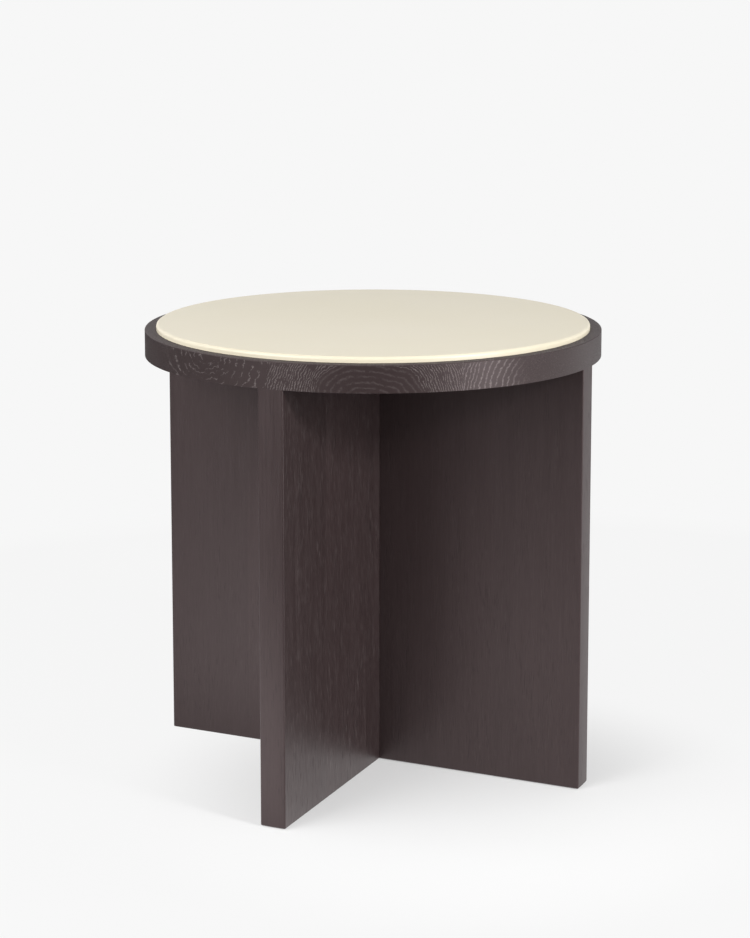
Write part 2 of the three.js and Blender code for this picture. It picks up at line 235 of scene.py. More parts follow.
def group(name, inputs, outputs):
    """An empty node group with named sockets. Returns it and its input sockets by name."""
    tree = bpy.data.node_groups.new(name, "ShaderNodeTree")
    for label, kind, value in inputs:
        socket = tree.interface.new_socket(name=label, in_out="INPUT", socket_type="NodeSocket" + kind)
        if value is not None:
            socket.default_value = value
    for label, kind in outputs:
        tree.interface.new_socket(name=label, in_out="OUTPUT", socket_type="NodeSocket" + kind)
    start = tree.nodes.new("NodeGroupInput")
    return tree, start.outputs


def close_group(tree, **results):
    """Links the results to the group's outputs. Returns the group."""
    end = tree.nodes.new("NodeGroupOutput")
    for label, socket in results.items():
        tree.links.new(socket, end.inputs[label])
    return tree


def place(tree, node_group, inputs):
    """A node group's outputs for these inputs."""
    return add(tree, "Group", inputs, node_tree=node_group).outputs


# Node groups. Wood is solid: X is across a board, Y through its thickness, and Z along its grain.

# Waves per metre across, through and along the wood
WANDER_SCALE = (28, 28, 5)
PATCH_SCALE = (150, 150, 12)
BEAD_SCALE = (520, 520, 30)
SWAY_SCALE = (9, 9, 2.2)
BROAD_STREAK_SCALE = (80, 80, 2.5)
FINE_STREAK_SCALE = (430, 430, 14)
DENSITY_SCALE = (45, 45, 9)
FLECK_SCALE = (900, 900, 62)
PORE_SCALE = (690, 690, 60)
CLOUD_SCALE = (7, 7, 3)
SWAY = (14 * MM, 14 * MM, 0)  # how far the streaks wander


def growth_rings_group():
    """Thin light lines where the growth rings are cut across. The inner rings are wider apart."""
    tree, given = group("growth_rings", [
        ("Vector", "Vector", None),
        ("Pith X", "Float", 0.0),
        ("Pith Y", "Float", 0.0),
        ("Flatness", "Float", 2.0),
        ("Squash", "Float", 1.0),
        ("Inner Pitch", "Float", 7 * MM),
        ("Outer Pitch", "Float", 2.5 * MM),
        ("Change Radius", "Float", 75 * MM),
        ("Inner Strength", "Float", 1.0),
        ("Wander", "Float", 1.0 * MM),
        ("Ripple", "Float", 0.3 * MM),
        ("Ripple Scale", "Float", 260.0),
        ("Line Width", "Float", 0.3),
        ("Broken", "Float", 0.2),
    ], [("Lines", "Float")])

    def centred(vector, amount):
        """Noise about zero, times an amount."""
        level = calc(tree, "SUBTRACT", noise(tree, vector, detail=2), 0.5)
        return calc(tree, "MULTIPLY", level, amount)

    wood = given["Vector"]
    ripples = vector_calc(tree, "SCALE", scaled(tree, wood, (1, 1, 0.05)), given["Ripple Scale"])
    parts = split(tree, wood)
    across = calc(tree, "ABSOLUTE", calc(tree, "SUBTRACT", parts["X"], given["Pith X"]))
    up = calc(tree, "ABSOLUTE", calc(tree, "SUBTRACT", parts["Y"], given["Pith Y"]))
    up = calc(tree, "MULTIPLY", up, given["Squash"])
    power = given["Flatness"]
    radius = calc(tree, "ADD", calc(tree, "POWER", across, power), calc(tree, "POWER", up, power))
    radius = calc(tree, "POWER", radius, calc(tree, "DIVIDE", 1, power))
    radius = calc(tree, "ADD", radius, centred(scaled(tree, wood, WANDER_SCALE), given["Wander"]))
    radius = calc(tree, "ADD", radius, centred(ripples, given["Ripple"]))
    change = given["Change Radius"]
    inner = calc(tree, "DIVIDE", calc(tree, "MINIMUM", radius, change), given["Inner Pitch"])
    past = calc(tree, "MAXIMUM", calc(tree, "SUBTRACT", radius, change), 0)
    phase = calc(tree, "ADD", inner, calc(tree, "DIVIDE", past, given["Outer Pitch"]))
    gap = calc(tree, "ABSOLUTE", calc(tree, "SUBTRACT", calc(tree, "FRACT", phase), 0.5))
    line = remap(tree, gap, calc(tree, "SUBTRACT", 0.5, given["Line Width"]), 0.5)
    patches = noise(tree, scaled(tree, wood, PATCH_SCALE, (0.3, 0.1, 0.7)), detail=2)
    low = calc(tree, "MULTIPLY", given["Broken"], 0.55)
    kept = remap(tree, patches, low, calc(tree, "ADD", low, 0.16))
    beads = remap(tree, noise(tree, scaled(tree, wood, BEAD_SCALE), detail=1), 0.3, 0.6, 0.35, 1.0)
    outer_share = calc(tree, "DIVIDE", past, given["Outer Pitch"], clamp=True)
    strength = blend_values(tree, outer_share, given["Inner Strength"], 1.0)
    lines = calc(tree, "MULTIPLY", line, kept)
    lines = calc(tree, "MULTIPLY", lines, calc(tree, "MULTIPLY", beads, strength))
    return close_group(tree, Lines=lines)


def long_grain_group():
    """Soft streaks along the grain, short light flecks and short dark pores."""
    tree, given = group("long_grain", [
        ("Vector", "Vector", None),
        ("Seed", "Float", 0.0),
    ], [("Streaks", "Float"), ("Flecks", "Float"), ("Pores", "Float"), ("Clouds", "Float")])
    seed = given["Seed"]
    shifted = vector_calc(tree, "ADD", given["Vector"], joined(tree, seed, seed, seed))
    sway = noise(tree, scaled(tree, shifted, SWAY_SCALE), detail=1, output="Color")
    bent = vector_calc(tree, "ADD", shifted, vector_calc(tree, "MULTIPLY", sway, SWAY))
    broad = noise(tree, scaled(tree, bent, BROAD_STREAK_SCALE), detail=3, roughness=0.55)
    fine = noise(tree, scaled(tree, bent, FINE_STREAK_SCALE), detail=3, roughness=0.65)
    streaks = calc(tree, "MULTIPLY_ADD", broad, 0.4, calc(tree, "MULTIPLY", fine, 0.6))
    dense = remap(tree, noise(tree, scaled(tree, bent, DENSITY_SCALE), detail=2), 0.38, 0.66)
    light = noise(tree, scaled(tree, bent, FLECK_SCALE, (1.3, 0.2, 2.1)), detail=1.5)
    flecks = calc(tree, "MULTIPLY_ADD", dense, 0.4, 0.6)
    flecks = calc(tree, "MULTIPLY", remap(tree, light, 0.54, 0.72), flecks)
    dark = noise(tree, scaled(tree, bent, PORE_SCALE, (3.1, 1.7, 0.4)), detail=1.5)
    pores = calc(tree, "MULTIPLY_ADD", dense, 0.6, 0.4)
    pores = calc(tree, "MULTIPLY", remap(tree, dark, 0.54, 0.70), pores)
    clouds = noise(tree, scaled(tree, shifted, CLOUD_SCALE), detail=2)
    return close_group(tree, Streaks=streaks, Flecks=flecks, Pores=pores, Clouds=clouds)


def oak_finish_group():
    """Colour, roughness and height of stained and lacquered oak."""
    tree, given = group("oak_finish", [
        ("Streaks", "Float", 0.5),
        ("Flecks", "Float", 0.0),
        ("Pores", "Float", 0.0),
        ("Clouds", "Float", 0.5),
        ("Lines", "Float", 0.0),
        ("Fleck Strength", "Float", 0.35),
        ("Dark", "Color", (0.03, 0.02, 0.02, 1)),
        ("Light", "Color", (0.06, 0.045, 0.045, 1)),
        ("Line", "Color", (0.12, 0.1, 0.1, 1)),
        ("Tone", "Float", 1.0),
        ("Polish", "Float", 0.36),
    ], [("Color", "Color"), ("Roughness", "Float"), ("Height", "Float")])
    shade = remap(tree, given["Streaks"], 0.33, 0.67)
    color = blend(tree, shade, given["Dark"], given["Light"])
    lighter = calc(tree, "MULTIPLY", given["Flecks"], given["Fleck Strength"])
    color = blend(tree, lighter, color, given["Line"])
    color = blend(tree, given["Lines"], color, given["Line"])
    cloudy = remap(tree, given["Clouds"], 0.25, 0.75, 0.94, 1.06, smooth=False)
    tone = calc(tree, "MULTIPLY", given["Tone"], cloudy)
    darker = calc(tree, "MULTIPLY", given["Pores"], given["Fleck Strength"])
    tone = calc(tree, "MULTIPLY", tone, calc(tree, "SUBTRACT", 1, darker))
    color = vector_calc(tree, "SCALE", color, tone)
    rough = calc(tree, "MULTIPLY_ADD", shade, 0.05, given["Polish"])
    rough = calc(tree, "MULTIPLY_ADD", given["Pores"], 0.1, rough)
    height = calc(tree, "MULTIPLY", given["Streaks"], 0.25)
    height = calc(tree, "MULTIPLY_ADD", given["Pores"], -0.5, height)
    height = calc(tree, "MULTIPLY_ADD", given["Lines"], -0.3, height)
    return close_group(tree, Color=color, Roughness=rough, Height=height)


RINGS = growth_rings_group()
GRAIN = long_grain_group()
OAK = oak_finish_group()


# Materials

OAK_DARK = (0.0240, 0.0152, 0.0153, 1)
OAK_LIGHT = (0.0305, 0.0202, 0.0204, 1)
OAK_LINE = (0.150, 0.128, 0.126, 1)
OAK_SHEEN = (1.0, 0.85, 0.86, 1)
BOARD_TONE = 0.8
RIM_POLISH, UPPER_POLISH = 0.37, 0.60  # roughness of a board's rim and of its upper face
END_FADE = 0.1  # end grain comes in over this share of the radius
BEECH_DARK = (0.50, 0.31, 0.17, 1)
BEECH_LIGHT = (0.66, 0.46, 0.28, 1)
BEECH_SEED = 4.2


def new_material(name):
    """A material, its tree, its shader, and the place on the piece."""
    material = bpy.data.materials.new(name)
    material.use_nodes = True
    tree = material.node_tree
    shader = tree.nodes["Principled BSDF"]
    place_of = tree.nodes.new("ShaderNodeTexCoord").outputs["Object"]
    return material, tree, shader, place_of


def feed(tree, shader, outputs, bump_strength, bump_distance):
    """Links the colour, the roughness and the height to the shader."""
    tree.links.new(outputs["Color"], shader.inputs["Base Color"])
    tree.links.new(outputs["Roughness"], shader.inputs["Roughness"])
    inputs = {"Height": outputs["Height"], "Strength": bump_strength, "Distance": bump_distance}
    bump = add(tree, "Bump", inputs)
    tree.links.new(bump.outputs["Normal"], shader.inputs["Normal"])


def finish_oak(tree, shader, inputs):
    """Gives the shader the oak's colours and lacquer."""
    shader.inputs["Specular Tint"].default_value = OAK_SHEEN
    colors = {"Dark": OAK_DARK, "Light": OAK_LIGHT, "Line": OAK_LINE}
    feed(tree, shader, place(tree, OAK, {**inputs, **colors}), 0.3, 0.3 * MM)


def board_material(name, rings, seed, fades_at):
    """Stained oak of one board of the top. Its rings show where the rim cuts the boards across."""
    material, tree, shader, place_of = new_material(name)
    own = split(tree, rotated(tree, place_of, (0, 0, -BOARD_TURN)))
    wood = joined(tree, own["X"], own["Z"], own["Y"])
    grain = place(tree, GRAIN, {"Vector": wood, "Seed": seed})
    lines = place(tree, RINGS, {"Vector": wood, **rings})["Lines"]
    reach = calc(tree, "DIVIDE", calc(tree, "ABSOLUTE", own["Y"]), TABLE_RADIUS)
    across = remap(tree, reach, fades_at, fades_at + END_FADE)
    below = calc(tree, "LESS_THAN", own["Z"], RIM_TOP - RIM_ROUND)
    cut = calc(tree, "MULTIPLY", across, below)
    along = calc(tree, "SUBTRACT", 1, cut)
    contrast = blend_values(tree, cut, 1.0, 0.4)
    streaks = calc(tree, "SUBTRACT", grain["Streaks"], 0.5)
    finish_oak(tree, shader, {
        "Streaks": calc(tree, "MULTIPLY_ADD", streaks, contrast, 0.5),
        "Flecks": calc(tree, "MULTIPLY", grain["Flecks"], along),
        "Pores": calc(tree, "MULTIPLY", grain["Pores"], along),
        "Clouds": grain["Clouds"],
        "Lines": calc(tree, "MULTIPLY", lines, cut),
        "Polish": blend_values(tree, below, UPPER_POLISH, RIM_POLISH),
        "Tone": BOARD_TONE,
    })
    return material


def stave_material(name, along_y, seed, tone):
    """Stained oak of one stave, with upright grain. The panel along Y has the stronger figure."""
    material, tree, shader, place_of = new_material(name)
    own = split(tree, place_of)
    if along_y:
        across, through = own["Y"], own["X"]
        contrast, flecks, strength = 1.4, 1.15, 0.24
    else:
        across, through = own["X"], own["Y"]
        contrast, flecks, strength = 0.8, 0.4, 0.14
    grain = place(tree, GRAIN, {"Vector": joined(tree, across, through, own["Z"]), "Seed": seed})
    broad_face = calc(tree, "LESS_THAN", calc(tree, "ABSOLUTE", across), TABLE_RADIUS - PANEL_ROUND)
    finish_oak(tree, shader, {
        "Streaks": calc(tree, "MULTIPLY_ADD", grain["Streaks"], contrast, 0.5 - contrast / 2),
        "Flecks": calc(tree, "MULTIPLY", grain["Flecks"], calc(tree, "MULTIPLY", broad_face, flecks)),
        "Pores": calc(tree, "MULTIPLY", grain["Pores"], 1.5),
        "Clouds": grain["Clouds"],
        "Fleck Strength": strength,
        "Tone": tone,
    })
    return material


def stone_material():
    """Cream stone with a honed face: a faint mottle in three tints and a fine tooth."""
    material, tree, shader, place_of = new_material("cream_stone")
    deep, middle, pale = (0.620, 0.565, 0.430, 1), (0.632, 0.576, 0.452, 1), (0.65, 0.605, 0.485, 1)
    mottle = noise(tree, scaled(tree, place_of, (9, 9, 9)), detail=4, roughness=0.6)
    tint = noise(tree, scaled(tree, place_of, (3.5, 3.5, 3.5), (0.4, 0.2, 0)), detail=1)
    color = blend(tree, remap(tree, tint, 0.35, 0.65), deep, middle)
    color = blend(tree, remap(tree, mottle, 0.3, 0.7, 0.0, 0.35), color, pale)
    fine = noise(tree, scaled(tree, place_of, (900, 900, 900)), detail=2)
    rough = calc(tree, "MULTIPLY_ADD", mottle, 0.08, 0.34)
    feed(tree, shader, {"Color": color, "Roughness": rough, "Height": fine}, 0.1, 0.05 * MM)
    return material


# Two colours, waves per metre, roughness, metallic, and depth of the bump in mm
SPECKLED = {
    "silicone": ((0.56, 0.58, 0.56, 1), (0.62, 0.63, 0.60, 1), 300, 0.45, 0.0, 0.05),
    "black_steel": ((0.014, 0.014, 0.015, 1), (0.022, 0.022, 0.023, 1), 1400, 0.38, 0.0, 0.12),
    "zinc_steel": ((0.60, 0.61, 0.63, 1), (0.46, 0.47, 0.50, 1), 500, 0.22, 1.0, 0.05),
    "brass": ((0.66, 0.47, 0.19, 1), (0.55, 0.38, 0.14, 1), 500, 0.25, 1.0, 0.05),
    "nylon": ((0.020, 0.017, 0.016, 1), (0.032, 0.028, 0.026, 1), 900, 0.45, 0.0, 0.05),
}


def speckled_material(name):
    """A material whose colour, roughness and height vary with one fine noise."""
    color, second, scale, rough, metallic, bump = SPECKLED[name]
    material, tree, shader, place_of = new_material(name)
    shader.inputs["Metallic"].default_value = metallic
    speckle = noise(tree, scaled(tree, place_of, (scale, scale, scale)), detail=3)
    mixed = blend(tree, remap(tree, speckle, 0.35, 0.65), color, second)
    vary = calc(tree, "MULTIPLY_ADD", speckle, 0.1, rough)
    feed(tree, shader, {"Color": mixed, "Roughness": vary, "Height": speckle}, 0.3, bump * MM)
    return material


def beech_material(name, lying):
    """Bare beech with its grain along the dowel."""
    material, tree, shader, place_of = new_material(name)
    wood = rotated(tree, place_of, (0, 0, -BOARD_TURN))
    wood = rotated(tree, wood, (0, QUARTER if lying else 0, 0))
    grain = place(tree, GRAIN, {"Vector": wood, "Seed": BEECH_SEED})
    shade = remap(tree, grain["Streaks"], 0.3, 0.7)
    color = blend(tree, shade, BEECH_DARK, BEECH_LIGHT)
    rough = calc(tree, "MULTIPLY_ADD", shade, 0.1, 0.55)
    feed(tree, shader, {"Color": color, "Roughness": rough, "Height": grain["Streaks"]}, 0.3, 0.1 * MM)
    return material


# Mesh helpers

def turned(profile, steps, closed=False):
    """A solid of revolution about Z. Its profile, from axis to axis or closed, is (radius, height)."""
    bm = bmesh.new()
    points = [bm.verts.new((radius, 0, height)) for radius, height in profile]
    following = points[1:] + (points[:1] if closed else [])
    edges = [bm.edges.new(pair) for pair in zip(points, following)]
    spin = {"cent": (0, 0, 0), "axis": (0, 0, 1), "angle": FULL_TURN, "steps": steps, "use_merge": True}
    bmesh.ops.spin(bm, geom=points + edges, **spin)
    bmesh.ops.remove_doubles(bm, verts=bm.verts, dist=MM / 1000)
    bmesh.ops.recalc_face_normals(bm, faces=bm.faces)
    return bm


def upright_disc(radius, foot, head, steps):
    """A turned disc whose faces meet at the axis."""
    return turned([(0, foot), (radius, foot), (radius, head), (0, head)], steps)


def ease(bm, edges, width, segments=ROUND_STEPS):
    """Rounds the edges."""
    settings = {"profile": 0.5, "affect": "EDGES", "material": -1, "clamp_overlap": True}
    bmesh.ops.bevel(bm, geom=edges, offset=width, segments=segments, **settings)


def ring_edges(bm, radius, height):
    """The edges of one circle about Z."""
    def on_ring(vert):
        return abs(vert.co.z - height) < NEAR and abs(vert.co.xy.length - radius) < NEAR

    return [edge for edge in bm.edges if all(on_ring(vert) for vert in edge.verts)]


def slice_off(bm, point, normal):
    """Cuts away what lies past a plane and closes the cut."""
    geometry = bm.verts[:] + bm.edges[:] + bm.faces[:]
    found = bmesh.ops.bisect_plane(bm, geom=geometry, plane_co=point, plane_no=normal, clear_outer=True)
    rim = [item for item in found["geom_cut"] if isinstance(item, bmesh.types.BMEdge)]
    bmesh.ops.holes_fill(bm, edges=rim, sides=0)


def block(low, high):
    """A box between two corners."""
    bm = bmesh.new()
    size = [b - a for a, b in zip(low, high)]
    middle = [(a + b) / 2 for a, b in zip(low, high)]
    bmesh.ops.create_cube(bm, size=1, matrix=Matrix.Translation(middle) @ Matrix.Diagonal((*size, 1)))
    return bm


def rod(radius, foot, head, steps=SMALL_STEPS):
    """An upright cylinder on the axis."""
    bm = bmesh.new()
    matrix = Matrix.Translation((0, 0, (foot + head) / 2))
    size = {"segments": steps, "radius1": radius, "radius2": radius, "depth": head - foot}
    bmesh.ops.create_cone(bm, cap_ends=True, matrix=matrix, **size)
    return bm


def dowel(radius, length, grow=0.0):
    """A dowel on the axis, with chamfered ends. Its hole is the same shape, grown."""
    radius, half, chamfer = radius + grow, length / 2 + grow, DOWEL_CHAMFER
    return turned([
        (0, -half),
        (radius - chamfer, -half),
        (radius, chamfer - half),
        (radius, half - chamfer),
        (radius - chamfer, half),
        (0, half),
    ], SMALL_STEPS)


def screw(size, grow=0.0):
    """A countersunk screw with its head flat on the origin and its point down, or its hole, grown."""
    shank, head, end = size["shank"] + grow, size["head"] + grow, size["length"] + grow
    return turned([
        (0, -end),
        (shank, size["tip"] - end),
        (shank, -size["head_height"]),
        (head, 0),
        (0, 0),
    ], SMALL_STEPS)


def moved(bm, offset, turn=0.0, axis="Z"):
    """Turns the mesh about the origin and then moves it."""
    matrix = Matrix.Translation(offset) @ Matrix.Rotation(turn, 4, axis)
    bmesh.ops.transform(bm, verts=bm.verts, matrix=matrix)
    return bm


def copies(bm, places):
    """The mesh once at each place. The pattern is freed."""
    made = [moved(bm.copy(), place) for place in places]
    bm.free()
    return made


def to_object(bm, name):
    """An object in the scene with the mesh's shape."""
    mesh = bpy.data.meshes.new(name)
    bm.to_mesh(mesh)
    made = bpy.data.objects.new(name, mesh)
    bpy.context.scene.collection.objects.link(made)
    return made


def cut_away(bm, cutters):
    """Takes closed solids out of the mesh and frees them. The cutters stay clear of one another."""
    tools = bmesh.new()
    for cutter in cutters:
        mesh = bpy.data.meshes.new("cutter")
        cutter.to_mesh(mesh)
        cutter.free()
        tools.from_mesh(mesh)
        bpy.data.meshes.remove(mesh)
    tool, blank = to_object(tools, "cutters"), to_object(bm, "blank")
    tools.free()
    modifier = blank.modifiers.new("cut", "BOOLEAN")
    modifier.operation = "DIFFERENCE"
    modifier.solver = "EXACT"
    modifier.object = tool
    finished = blank.evaluated_get(bpy.context.evaluated_depsgraph_get())
    bm.clear()
    bm.from_mesh(finished.to_mesh())
    finished.to_mesh_clear()
    for spent in (tool, blank):
        mesh = spent.data
        bpy.data.objects.remove(spent)
        bpy.data.meshes.remove(mesh)


def keep_between(bm, low, high):
    """Keeps what lies between two values of x."""
    slice_off(bm, (high, 0, 0), (1, 0, 0))
    slice_off(bm, (low, 0, 0), (-1, 0, 0))


def piece(name, bm, material, nodes, turn=0.0):
    """Makes the mesh a piece that rides on the table in place of CAD nodes."""
    bmesh.ops.rotate(bm, verts=bm.verts, cent=(0, 0, 0), matrix=Matrix.Rotation(turn, 3, "Z"))
    for face in bm.faces:
        face.smooth = True
    made = to_object(bm, name)
    bm.free()
    made.data.set_sharp_from_angle(angle=SHARP_ANGLE)
    made.data.materials.append(material)
    weighted = made.modifiers.new("even_shading", "WEIGHTED_NORMAL")
    weighted.keep_sharp = True
    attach(made, BODY)
    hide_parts(*nodes)
    return made


# Pieces

def make_disc():
    bm = upright_disc(DISC_RADIUS, DISC_UNDERSIDE, DISC_TOP, LARGE_STEPS)
    ease(bm, ring_edges(bm, DISC_RADIUS, DISC_TOP), DISC_ROUND, DISC_ROUND_STEPS)
    ease(bm, ring_edges(bm, DISC_RADIUS, DISC_UNDERSIDE), DISC_LOWER_CHAMFER, 1)
    piece("cream_disc", bm, stone_material(), ["stone_disc"])


def along_board(node):
    """The middle of a node in the boards' own frame."""
    return Matrix.Rotation(-BOARD_TURN, 3, "Z") @ Vector(centre(node))


def numbered(name, count):
    """Names of the nodes of one kind."""
    return [f"{name}_{i + 1}" for i in range(count)]


BOARD_DOWELS = numbered("top_board_dowel", 6)
WING_DOWELS = numbered("locating_dowel", 4)
INSERTS = numbered("threaded_insert", 4)
GLIDES = numbered("glide", 4)
GLIDE_SCREWS = numbered("glide_screw", 4)
PLATE_SCREWS = numbered("plate_screw", 8)
BOLTS = numbered("top_bolt", 4)
WASHERS = numbered("bolt_washer", 4)
PADS = numbered("bedding_pad", 5)


def board_holes(low, high):
    """Holes of the dowels and the threaded inserts that reach into the board between low and high."""
    lying = moved(dowel(BOARD_DOWEL_RADIUS, BOARD_DOWEL_LENGTH, FIT_GAP), (0, 0, 0), QUARTER, "Y")
    upright = dowel(WING_DOWEL_RADIUS, WING_DOWEL_LENGTH, FIT_GAP)
    sleeve = rod(INSERT_RADIUS + FIT_GAP, -INSERT_LENGTH, INSERT_LENGTH / 2 + FIT_GAP)
    holes = []
    for pattern, nodes in ((lying, BOARD_DOWELS), (upright, WING_DOWELS), (sleeve, INSERTS)):
        places = [along_board(node) for node in nodes]
        holes += copies(pattern, [at for at in places if low - OVERRUN < at.x < high + OVERRUN])
    return holes


# Growth rings at the boards' ends. The pith's height is from the underside of the top.
RINGS_LEFT = {
    "Pith X": -186 * MM,
    "Pith Y": RIM_UNDERSIDE + 30 * MM,
    "Squash": 1.2,
    "Inner Pitch": 6.3 * MM,
    "Outer Pitch": 9.3 * MM,
    "Change Radius": 32 * MM,
    "Wander": 10 * MM,
    "Ripple": 11 * MM,
    "Ripple Scale": 190,
    "Line Width": 0.13,
    "Broken": 0.78,
}
RINGS_MIDDLE = {
    "Pith X": 5 * MM,
    "Pith Y": RIM_UNDERSIDE - 27 * MM,
    "Flatness": 2.4,
    "Inner Pitch": 6.7 * MM,
    "Outer Pitch": 2.6 * MM,
    "Change Radius": 63 * MM,
    "Inner Strength": 0.24,
    "Wander": 15 * MM,
    "Ripple": 3.6 * MM,
    "Ripple Scale": 270,
    "Line Width": 0.26,
    "Broken": 0.62,
}
RINGS_RIGHT = {
    "Pith X": 210 * MM,
    "Pith Y": RIM_UNDERSIDE - 6 * MM,
    "Inner Pitch": 6.3 * MM,
    "Outer Pitch": 3.9 * MM,
    "Change Radius": 86 * MM,
    "Wander": 5 * MM,
    "Ripple": 4.6 * MM,
    "Ripple Scale": 210,
    "Line Width": 0.22,
    "Broken": 0.55,
}


def make_boards():
    recess = DISC_RADIUS + RECESS_GAP
    profile = [
        (0, RIM_UNDERSIDE),
        (TABLE_RADIUS, RIM_UNDERSIDE),
        (TABLE_RADIUS, RIM_TOP),
        (recess, RIM_TOP),
        (recess, RECESS_FLOOR),
        (0, RECESS_FLOOR),
    ]
    whole = turned(profile, LARGE_STEPS)
    ease(whole, ring_edges(whole, TABLE_RADIUS, RIM_TOP), RIM_ROUND)
    joint, glue = abs(along_board(BOARD_DOWELS[0]).x), GLUE_LINE / 2
    boards = [  # name, edges, rings, seed, and where the end grain starts as a share of the radius
        ("left", -TABLE_RADIUS - OVERRUN, -joint - glue, RINGS_LEFT, 3.1, 0.51),
        ("middle", glue - joint, joint - glue, RINGS_MIDDLE, 5.7, 0.60),
        ("right", joint + glue, TABLE_RADIUS + OVERRUN, RINGS_RIGHT, 8.3, 0.74),
    ]
    for side, low, high, rings, seed, fades_at in boards:
        bm = whole.copy()
        keep_between(bm, low, high)
        cut_away(bm, board_holes(low, high))
        material = board_material(f"stained_oak_board_{side}", rings, seed, fades_at)
        piece(f"board_{side}", bm, material, [f"top_board_{side}"], turn=BOARD_TURN)
    whole.free()


def make_panel():
    """A panel along X: a slice of an upright cylinder, with its outer edges and its foot eased."""
    bm = upright_disc(TABLE_RADIUS, PANEL_FOOT, RIM_UNDERSIDE, 2 * LARGE_STEPS)
    slice_off(bm, (0, PANEL_HALF, 0), (0, 1, 0))
    slice_off(bm, (0, -PANEL_HALF, 0), (0, -1, 0))

    def is_corner(edge):
        middle = (edge.verts[0].co + edge.verts[1].co) / 2
        upright = abs(edge.verts[0].co.z - edge.verts[1].co.z) > NEAR
        on_flat = all(abs(abs(vert.co.y) - PANEL_HALF) < NEAR for vert in edge.verts)
        at_end = abs(middle.x) > TABLE_RADIUS - PANEL_HALF
        at_foot = all(abs(vert.co.z - PANEL_FOOT) < NEAR for vert in edge.verts)
        outside = len(edge.link_faces) == 2 and edge.calc_face_angle(0) > CORNER_ANGLE
        return outside and ((upright and on_flat and at_end) or at_foot)

    ease(bm, [edge for edge in bm.edges if is_corner(edge)], PANEL_ROUND)
    return bm


def panel_cuts(slot_foot, slot_head):
    """Lap slot, seat of the plate, and holes for screws, dowels and glides, in a panel along X."""
    seat, slot = PLATE_HALF + FIT_GAP, PANEL_HALF + FIT_GAP
    cuts = [
        block((-seat, -seat, PLATE_UNDERSIDE), (seat, seat, RIM_UNDERSIDE + OVERRUN)),
        block((-slot, -slot, slot_foot), (slot, slot, slot_head)),
    ]
    for node in WING_DOWELS + GLIDES + PLATE_SCREWS:
        x, y, _ = centre(node)
        if abs(y) >= PANEL_HALF:
            continue
        if node in WING_DOWELS:
            hole = dowel(WING_DOWEL_RADIUS, WING_DOWEL_LENGTH, FIT_GAP)
            cuts.append(moved(hole, (x, 0, RIM_UNDERSIDE)))
        elif node in GLIDES:
            cuts.append(moved(rod(GLIDE_RADIUS + FIT_GAP, -OVERRUN, GLIDE_THICKNESS), (x, 0, 0)))
            cuts.append(moved(screw(GLIDE_SCREW, FIT_GAP), (x, 0, GLIDE_SCREW_SUNK), math.pi, "X"))
        else:
            head = RIM_UNDERSIDE - PLATE_SCREW_SUNK
            cuts.append(moved(screw(PLATE_SCREW, FIT_GAP), (x, 0, head)))
    return cuts


STAVE_TONES = [0.97, 1.05, 1.0, 1.04, 0.98]  # of an even tone, from the low end
STAVE_SEEDS = {"x": 0.1, "y": 0.6}
SEED_STEP = 1.3


def make_panels():
    """The staves of both panels, each cut out of its whole panel."""
    lap = (PANEL_FOOT + RIM_UNDERSIDE) / 2
    panels = [  # axis, turn, and the slot's foot and head
        ("x", 0.0, lap - FIT_GAP / 2, RIM_UNDERSIDE + OVERRUN),
        ("y", QUARTER, PANEL_FOOT - OVERRUN, lap + FIT_GAP / 2),
    ]
    for axis, turn, slot_foot, slot_head in panels:
        panel = make_panel()
        for cutter in panel_cuts(slot_foot, slot_head):
            cut_away(panel, [cutter])
        for i, tone in enumerate(STAVE_TONES):
            low = i * STAVE_WIDTH - TABLE_RADIUS
            past_low = OVERRUN if i == 0 else 0
            past_high = OVERRUN if i == len(STAVE_TONES) - 1 else 0
            bm = panel.copy()
            keep_between(bm, low - past_low, low + STAVE_WIDTH + past_high)
            seed = SEED_STEP * i + STAVE_SEEDS[axis]
            material = stave_material(f"stained_oak_{axis}_{i + 1}", axis == "y", seed, tone)
            node = f"{axis}_panel_stave_{i + 1}"
            piece(f"{axis}_stave_{i + 1}", bm, material, [node], turn=turn)
        panel.free()


def repeat(name, bm, material, nodes):
    """The mesh as a piece at each of the nodes, which it replaces. The pattern is freed."""
    heights = [vert.co.z for vert in bm.verts]
    middle = (min(heights) + max(heights)) / 2
    for i, node in enumerate(nodes):
        x, y, z = centre(node)
        piece(f"{name}_{i + 1}", moved(bm.copy(), (x, y, z - middle)), material, [node])
    bm.free()


def make_pads():
    bm = rod(PAD_RADIUS, 0, PAD_THICKNESS, 2 * SMALL_STEPS)
    ease(bm, ring_edges(bm, PAD_RADIUS, 0) + ring_edges(bm, PAD_RADIUS, PAD_THICKNESS), SMALL_ROUND, 2)
    repeat("pad", bm, speckled_material("silicone"), PADS)


def make_dowels():
    lying = moved(dowel(BOARD_DOWEL_RADIUS, BOARD_DOWEL_LENGTH), (0, 0, 0), QUARTER, "Y")
    moved(lying, (0, 0, 0), BOARD_TURN)
    repeat("board_dowel", lying, beech_material("beech_lying", True), BOARD_DOWELS)
    upright = dowel(WING_DOWEL_RADIUS, WING_DOWEL_LENGTH)
    repeat("wing_dowel", upright, beech_material("beech_upright", False), WING_DOWELS)


